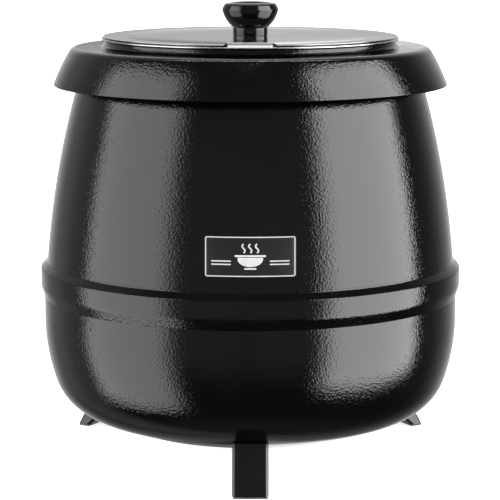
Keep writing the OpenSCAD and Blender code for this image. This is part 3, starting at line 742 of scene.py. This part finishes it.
def pressed(name, outline, base, top, edge=0.2, rings=10):
    """A plate with this outline of (x, z) about the plate's middle, lying on the shell's front."""
    line, points, faces, loops = fine_loop(outline, 1.5), [], [], []
    n = len(line)
    centre = (sum(x for x, z in line) / n, sum(z for x, z in line) / n)
    layers = [(1.0, 0.0, base), (1.0, 0.0, top - edge), (1.0, edge * 0.3, top - edge * 0.3)]
    layers += [(1 - k / rings, edge, top) for k in range(rings)]
    for scale, inset, lift in layers:
        moved = beside(line + line[:1], inset)[:n] if inset else line
        loops.append([(centre[0] + (x - centre[0]) * scale,
                       centre[1] + (z - centre[1]) * scale, lift) for x, z in moved])
    for loop in loops:
        points += [on_side(x, PLATE_MID + z, lift) for x, z, lift in loop]
    points.append(on_side(centre[0], PLATE_MID + centre[1], top))
    for k in range(len(loops) - 1):
        faces += [[k * n + i, k * n + (i + 1) % n, (k + 1) * n + (i + 1) % n, (k + 1) * n + i]
                  for i in range(n)]
    last = len(loops) - 1
    faces += [[last * n + i, last * n + (i + 1) % n, len(points) - 1] for i in range(n)]
    points.append(on_side(centre[0], PLATE_MID + centre[1], base))
    faces += [[(i + 1) % n, i, len(points) - 1] for i in range(n)]
    return from_faces(name, points, faces, crease=50)


def stroke(name, path, width, base, top, closed=False):
    """A raised line of even width along a path of (x, z) about the plate's middle."""
    n, half = len(path), width / 2
    points, faces = [], []
    for i, (x, z) in enumerate(path):
        a = path[(i - 1) % n] if closed else path[max(i - 1, 0)]
        b = path[(i + 1) % n] if closed else path[min(i + 1, n - 1)]
        dx, dz = b[0] - a[0], b[1] - a[1]
        k = half / math.hypot(dx, dz)
        for side, lift in ((-1, base), (-1, top), (1, top), (1, base)):
            points.append(on_side(x - side * dz * k, PLATE_MID + z + side * dx * k, lift))
    for i in range(n if closed else n - 1):
        j = (i + 1) % n
        faces += [[4 * i + k, 4 * i + (k + 1) % 4, 4 * j + (k + 1) % 4, 4 * j + k]
                  for k in range(4)]
    if not closed:
        faces += [[0, 1, 2, 3], [4 * n - 4 + k for k in (3, 2, 1, 0)]]
    return from_faces(name, points, faces)


def plate_print():
    """The border, the bowl with its brim and stand, three wisps of steam and four bars."""
    margin, border_round, border_w = 0.9, 1.2, 0.75
    bowl_half, bowl_top, bowl_edge, bowl_depth, fullness = 9.5, -0.6, 0.6, 6.2, 0.9
    brim_half, brim_z, brim_w = 11.5, 0.6, 1.4
    stand_half, stand_z, stand_w = 4.5, -8.8, 1.2
    wisp_sway, wisp_z, wisp_h, wisp_w, wisp_xs = 1.1, 2.9, 6.6, 1.1, (-5, 0, 5)
    bar_near, bar_far, bar_w, bar_zs = 14.5, 29.0, 0.9, (-3.2, -5.6)
    frame_line = rounded(PLATE_HALF - margin, PLATE_HALF_H - margin, border_round)
    below = [(bowl_half * math.cos(t), bowl_top - bowl_edge - bowl_depth * math.sin(t) ** fullness)
             for t in [math.pi * i / 24 for i in range(1, 24)]]
    side_view = [(bowl_half, bowl_top)] + below + [(-bowl_half, bowl_top)]
    marks = [stroke("border", fine_loop(frame_line, 2.0), border_w, *INK, closed=True),
             pressed("bowl", side_view[::-1], *INK, edge=0.05, rings=6),
             stroke("brim", level(-brim_half, brim_half, brim_z, 16), brim_w, *INK),
             stroke("stand", level(-stand_half, stand_half, stand_z, 8), stand_w, *INK)]
    for x in wisp_xs:
        wisp = [(x + wisp_sway * math.sin(2 * math.pi * i / 20), wisp_z + wisp_h * i / 20)
                for i in range(21)]
        marks.append(stroke("wisp", wisp, wisp_w, *INK))
    for side in (-1, 1):
        for z in bar_zs:
            bar = level(side * bar_near, side * bar_far, z, 10)
            marks.append(stroke("bar", bar, bar_w, *INK))
    return join("plate_print", marks)


place(pressed("name_plate_pressed", rounded(PLATE_HALF, PLATE_HALF_H, PLATE_CORNER),
              PLATE_BACK, PLATE_T), PLATE, "root", "plate_bronze", "name_plate")
place(plate_print(), PLATE_LINE, "root", "scale_metal")

# Heat control on the back: its marks run over TURN_RANGE degrees from OFF_TURN past the top

DIAL_AT = (0, 0, DIAL_Z)
BACK_Y = low("control_knob", "y")
OFF_TURN, TURN_RANGE = 135, 270


def round_dial(piece, turn):
    """Turns a piece made about the Y axis by an angle, and moves it up to the dial's axis."""
    piece.data.transform(Matrix.Translation((0, 0, DIAL_Z * MM))
                         @ Matrix.Rotation(math.radians(turn), 4, "Y"))
    return piece


def control_knob():
    """The knob's body: a skirt, a fluted grip with a dished face, and a blind bore."""
    grips, grip_r, skirt_r, front = 20, 14.6, 17.0, high("control_knob", "y")
    bore_r, bore_depth, skirt_t, skirt_edge, skirt_round = 3.0, 10, 2.2, 0.5, 0.8
    grip_y, grip_foot, grip_round, flute_r, flute_out = BACK_Y + 3.0, 0.4, 1.2, 1.3, 0.5
    outline = ([(bore_r, BACK_Y), (skirt_r - skirt_edge, BACK_Y), (skirt_r, BACK_Y + skirt_edge),
                (skirt_r, BACK_Y + skirt_t)]
               + arc((skirt_r - skirt_round, BACK_Y + skirt_t), skirt_round, 0, 90, 4)
               + [(grip_r + grip_foot, grip_y), (grip_r, grip_y + grip_foot),
                  (grip_r, front - grip_round)]
               + arc((grip_r - grip_round, front - grip_round), grip_round, 15, 90, 5)
               + [(grip_r - 2.4, front), (grip_r - 3.2, front - 0.5), (0, front - 0.7),
                  (0, BACK_Y + bore_depth), (bore_r, BACK_Y + bore_depth)])
    body = lathe("control_knob_moulded", outline, SMALL_STEPS, at=DIAL_AT, along="y")
    flutes = []
    for i in range(grips):
        turn = 2 * math.pi * (i + 0.5) / grips
        at = ((grip_r + flute_out) * math.sin(turn),
              DIAL_Z + (grip_r + flute_out) * math.cos(turn))
        flutes.append(rod("flute", flute_r, BACK_Y + 3.6, front + 3, at, steps=24))
    return combine(body, [join("flutes", flutes)], "DIFFERENCE")


def dial_pointer():
    """The raised mark on the knob's skirt, turned to the off mark."""
    half, base, top, inner, outer = 0.8, BACK_Y + 2.6, BACK_Y + 3.8, 12.0, 16.4
    pointer = block("pointer", (-half, base, inner), (half, top, outer), 0.3)
    return round_dial(pointer, OFF_TURN)


place(control_knob(), DIAL_BLACK, "dial", "dial_black", "control_knob")
place(dial_pointer(), PLATE_LINE, "dial", "scale_metal")


def scale_plate():
    """The plate in the well behind the knob, its face a little rounded at the rim."""
    bore_r, rim, edge, rim_round = 5.1, high("dial_scale_plate", "x"), 0.2, 0.3
    back, face = WELL_Y, WELL_Y + 0.8
    outline = [(bore_r, back), (rim - edge, back), (rim, back + edge), (rim, face - rim_round),
               (rim - rim_round, face), (bore_r, face)]
    return lathe("scale_plate_pressed", outline, SMALL_STEPS, at=DIAL_AT, along="y")


def scale_marks():
    """Eleven marks round the scale, the first, middle and last of them longer."""
    count, half, face, height, outer = 10, 0.35, WELL_Y + 0.75, 0.2, 22.6
    pieces = []
    for i in range(count + 1):
        inner = 19.0 if i in (0, count // 2, count) else 19.8
        tick = block("tick", (-half, face, inner), (half, face + height, outer), 0.05, 1)
        pieces.append(round_dial(tick, TURN_RANGE / count * i - OFF_TURN))
    return join("scale_marks", pieces)


place(scale_plate(), SCALE_METAL, "root", "scale_metal", "dial_scale_plate")
place(scale_marks(), SCALE_INK, "root", "dial_black")

# Pilot lamp and cord gland: outlines of (radius, distance from the kettle's axis)


def radial_lathe(name, outline, z, turn, steps=96):
    """An outline turned round a level line that points out of the body."""
    piece = lathe(name, outline, steps, along="y", at=(0, 0, z))
    piece.data.transform(Matrix.Rotation(math.radians(turn), 4, "Z"))
    return piece


def lens_outline():
    """A rod with a low domed end."""
    radius, back, tip, dome = 4, 152, 168, 1.6
    turns = [math.pi / 2 * i / 8 for i in range(8)]
    face = [(radius * math.cos(t), tip - dome + dome * math.sin(t)) for t in turns]
    return [(0, back), (radius, back)] + face + [(0, tip)]


def bezel_outline():
    """A sleeve through the shell with a rounded flange outside it."""
    bore_r, sleeve_r, flange_r, outer_round, inner_round = 4.05, 5.1, 6.6, 1.0, 0.5
    back, seat, front, bore_end, inner_c_r = 156, 162.6, 166.4, 165.4, 4.6
    return ([(bore_r, back), (sleeve_r, back), (sleeve_r, seat), (flange_r, seat)]
            + arc((flange_r - outer_round, front - outer_round), outer_round, 0, 90, 5)
            + arc((inner_c_r, front - inner_round), inner_round, 90, 180, 4)
            + [(bore_r, bore_end)])


def gland_outline():
    """A sleeve through the shell, a flange, and a cone with the cord's bore in its end."""
    bore_r, throat_r, sleeve_r, flange_r = 4.0, 4.8, 6.5, 9
    back, seat, flange_front, cone_foot, tip, throat_end = 146, 159.4, 162.8, 164.2, 168, 162
    flange_round, cone_in, tip_round, bore_edge = 0.8, 1.1, 0.6, 0.4
    return ([(throat_r, back), (sleeve_r, back), (sleeve_r, seat), (flange_r, seat),
             (flange_r, flange_front)]
            + arc((flange_r - flange_round, flange_front), flange_round, 0, 70, 4)
            + [(flange_r - cone_in, cone_foot), (sleeve_r, tip - tip_round)]
            + arc((sleeve_r - tip_round, tip - tip_round), tip_round, 0, 90, 4)
            + [(bore_r + bore_edge, tip), (bore_r, tip - bore_edge), (bore_r, throat_end),
               (throat_r, throat_end)])


place(radial_lathe("lamp_lens_moulded", lens_outline(), DIAL_Z, LAMP_TURN),
      LENS, "root", "lens_amber", "pilot_lamp_lens")
place(radial_lathe("lamp_bezel_moulded", bezel_outline(), DIAL_Z, LAMP_TURN),
      DIAL_BLACK, "root", "dial_black", "pilot_lamp_bezel")
place(radial_lathe("cord_gland_moulded", gland_outline(), GLAND_Z, GLAND_TURN),
      DIAL_BLACK, "root", "dial_black", "cord_gland")

# Finishes of the CAD pieces that stay

CARRIED = {
    ZINC: ["collar_studs", "collar_nuts", "element_clamp", "clamp_stud", "clamp_nut",
           "thermostat_nut", "bulb_clip", "base_plate", "tie_rods", "tie_rod_nuts",
           "foot_screws", "dial_shaft"],
    SILICONE: ["collar_gasket"],
    ALUMINIUM: ["water_pan", "heat_spreader"],
    SHEATH: ["heating_element"],
    CERAMIC: ["thermostat_body", "terminal_block"],
    COPPER: ["capillary_tube", "sensor_bulb"],
    CUTOUT: ["thermal_cutout"],
    BRASS: ["earth_stud"],
    WIRE: ["internal_wires"],
    DIAL_BLACK: ["gland_nut"],
    HINGE_STEEL: ["hinge_leaf_rear", "hinge_leaf_front", "hinge_pin", "knob_screw"],
}
for material, names in CARRIED.items():
    for name in names:
        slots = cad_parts[name].data.materials
        if not len(slots):
            slots.append(material)
        for i in range(len(slots)):
            slots[i] = material

# Stage: a pale round floor that shines a little, so that it stays pale to its edges

FLOOR_R, FLOOR_SHINE = 14, 0.75

floor_mesh = bpy.data.meshes.new("floor")
floor_work = bmesh.new()
bmesh.ops.create_circle(floor_work, cap_ends=True, segments=96, radius=FLOOR_R)
floor_work.to_mesh(floor_mesh)
floor_work.free()
floor = bpy.data.objects.new("floor", floor_mesh)
bpy.context.scene.collection.objects.link(floor)
floor_mesh.materials.append(surface("pale_floor", grey(0.9), grey(0.93), (0.8, 0.9), cloud=4,
                                    bumps=[(300, 2.0, 0.00002)], emission_strength=FLOOR_SHINE,
                                    emission_color=(1, 1, 1, 1)))
floor.visible_glossy = False

# Light: a white studio seen by direction, with a tall soft panel on each side

DIFFUSE_LIGHT, BACKDROP = 2.0, 1.05
STRAIGHT_BEHIND = (160, 172)  # the degrees round from the front over which it begins


class Sky:
    """Every direction that a ray can leave in, in the terms that the lights are given in.

    Angles are in degrees. turn runs round from the front, around is turn without its sign, rise
    is the height over the horizon, and over runs up from the front and on over the top. drift is
    the slope sideways from straight ahead or straight behind, and aside how far x is from 0.
    """

    def __init__(self, graph):
        degrees = 180 / math.pi
        where = graph.add("TexCoord").outputs["Generated"]
        self.x, self.y, self.z = graph.add("SeparateXYZ", {"Vector": where}).outputs
        front = graph.times(self.y, -1.0)
        self.turn = graph.times(graph.math("ARCTAN2", self.x, front), degrees)
        self.rise = graph.times(graph.math("ARCSINE", self.z), degrees)
        self.over = graph.times(graph.math("ARCTAN2", self.z, front), degrees)
        self.around = graph.math("ABSOLUTE", self.turn)
        self.aside = graph.math("ABSOLUTE", self.x)
        self.drift = graph.math("DIVIDE", self.x, graph.math("ABSOLUTE", self.y))


def between(graph, value, start, end, soft, most=1.0):
    """most from start to end and 0 outside, each end softened by the same amount."""
    rising = graph.ramp(value, start - soft, start + soft, low=0, high=most, smooth=True)
    falling = graph.ramp(value, end - soft, end + soft, low=1, high=0, smooth=True)
    return graph.times(rising, falling)


def within(graph, value, first, last):
    """1 between two ends, each given with how softly it ends."""
    rising = graph.ramp(value, first[0] - first[1], first[0] + first[1], smooth=True)
    falling = graph.ramp(value, last[0] - last[1], last[0] + last[1], low=1, high=0, smooth=True)
    return graph.times(rising, falling)


def side_panel(graph, sky, side, near, far, foot, head, radiance):
    """A flat soft panel that faces the kettle from one side.

    Its four edges are slopes from its middle, each given with how softly it ends.
    """
    facing, fade_start, fade_end = math.radians(52), 0.05, 0.15
    c, s = math.cos(facing), math.sin(facing)
    sideways = graph.times(sky.x, side)
    away = graph.math("SUBTRACT", graph.times(sideways, s), graph.times(sky.y, c))
    along = graph.plus(graph.times(sideways, c), graph.times(sky.y, s))
    inside = graph.times(within(graph, graph.math("DIVIDE", along, away), near, far),
                         within(graph, graph.math("DIVIDE", sky.z, away), foot, head))
    return graph.times(inside, radiance, graph.ramp(away, fade_start, fade_end))


def ground(graph, sky):
    """The floor as the underside shows it, fainter to the sides and behind."""
    return graph.times(graph.ramp(sky.rise, -48, -66, low=0, high=0.08),
                       graph.ramp(sky.around, 0, 90, low=1, high=0.6))


def haze(graph, sky):
    """A faint light from the front, which keeps the middle of the body from going black."""
    return graph.times(graph.ramp(sky.around, 60, 90, low=0.13, high=0),
                       graph.times(graph.ramp(sky.rise, -34, -14),
                                   graph.ramp(sky.rise, 10, 45, low=1, high=0)))


def wall(graph, sky):
    """The wall behind, with the darker parts that the lid shows from the camera."""
    light = graph.times(graph.ramp(sky.around, 118, 180, low=0.1, high=0.9, smooth=True),
                        graph.ramp(sky.rise, -34, -12, low=0.3, high=1))
    behind = graph.times(between(graph, sky.rise, 2.0, 5.8, soft=0.9, most=0.44),
                         graph.ramp(sky.around, *STRAIGHT_BEHIND))
    left = graph.times(between(graph, sky.drift, -0.09, -0.002, soft=0.006, most=0.75),
                       graph.ramp(sky.rise, 3.4, 2.2))
    right = graph.times(between(graph, sky.drift, 0.03, 0.075, soft=0.006, most=0.7),
                        between(graph, sky.rise, 6.6, 12, soft=0.8))
    for dark in (behind, left, right):
        light = graph.times(light, graph.math("SUBTRACT", 1.0, dark))
    return light


def overhead(graph, sky):
    """A thin strip over the kettle, which the knob and the collar's shoulder show."""
    return graph.times(between(graph, sky.over, 101, 105.5, soft=1.2),
                       graph.times(graph.ramp(sky.x, -0.3, 0.3, low=6.0, high=9.0),
                                   graph.ramp(sky.aside, 0.36, 0.46, low=1, high=0)))


def card(graph, sky):
    """A small card high in front, which only the notch's lip shows."""
    return graph.times(between(graph, sky.over, 60, 64, soft=1.0, most=1.6),
                       graph.ramp(sky.aside, 0.03, 0.05, low=1, high=0))


def left_glow(graph, sky):
    """A faint light at the left, a little behind the kettle."""
    return between(graph, sky.turn, -136, -102, soft=3, most=0.2)


def right_glow(graph, sky):
    """A low light behind, a little to the right, which the lid shows."""
    return graph.times(between(graph, sky.drift, 0.0, 0.12, soft=0.01, most=0.4),
                       graph.ramp(sky.rise, 3, 1.8),
                       graph.ramp(sky.around, *STRAIGHT_BEHIND))


def studio():
    """The world: the lights for mirrored rays, one even light for diffuse ones, and a backdrop."""
    world = bpy.data.worlds.new("studio")
    bpy.context.scene.world = world
    world.use_nodes = True
    world.cycles.sampling_method = "NONE"
    graph = Graph(world.node_tree)
    sky = Sky(graph)
    left_panel = side_panel(graph, sky, -1, near=(-0.1, 0.12), far=(1.2, 0.03),
                            foot=(-0.99, 0.03), head=(1.0, 0.07), radiance=2.9)
    right_panel = side_panel(graph, sky, 1, near=(-0.17, 0.12), far=(1.25, 0.03),
                             foot=(-0.65, 0.1), head=(1.15, 0.1), radiance=5.8)
    total = graph.plus(ground(graph, sky), left_panel, right_panel, card(graph, sky),
                       haze(graph, sky), wall(graph, sky), overhead(graph, sky),
                       left_glow(graph, sky), right_glow(graph, sky))
    path = graph.add("LightPath")
    lit = graph.add("Mix", {0: path.outputs["Is Diffuse Ray"], 2: total, 3: DIFFUSE_LIGHT},
                    data_type="FLOAT")
    strength = graph.add("Mix", {0: path.outputs["Is Camera Ray"], 2: lit.outputs[0],
                                 3: BACKDROP}, data_type="FLOAT")
    light = graph.add("Background", {"Color": (1, 1, 1, 1), "Strength": strength.outputs[0]})
    graph.add("OutputWorld", {"Surface": light.outputs[0]})


studio()
bpy.context.scene.view_settings.view_transform = "Standard"

# Camera at the photograph's height, distance and tilt

CAMERA_LENS, CAMERA_SENSOR, CAMERA_SHIFT = 157.03, 36, -0.0006
CAMERA_AT, CAMERA_TILT = (0, -1.754, 0.454), 0.164

camera_data = bpy.data.cameras.new("camera")
camera_data.lens = CAMERA_LENS
camera_data.sensor_width = CAMERA_SENSOR
camera_data.shift_x = CAMERA_SHIFT
camera = bpy.data.objects.new("camera", camera_data)
camera.location = CAMERA_AT
camera.rotation_euler = (math.pi / 2 - CAMERA_TILT, 0, 0)
bpy.context.scene.collection.objects.link(camera)
bpy.context.scene.camera = camera
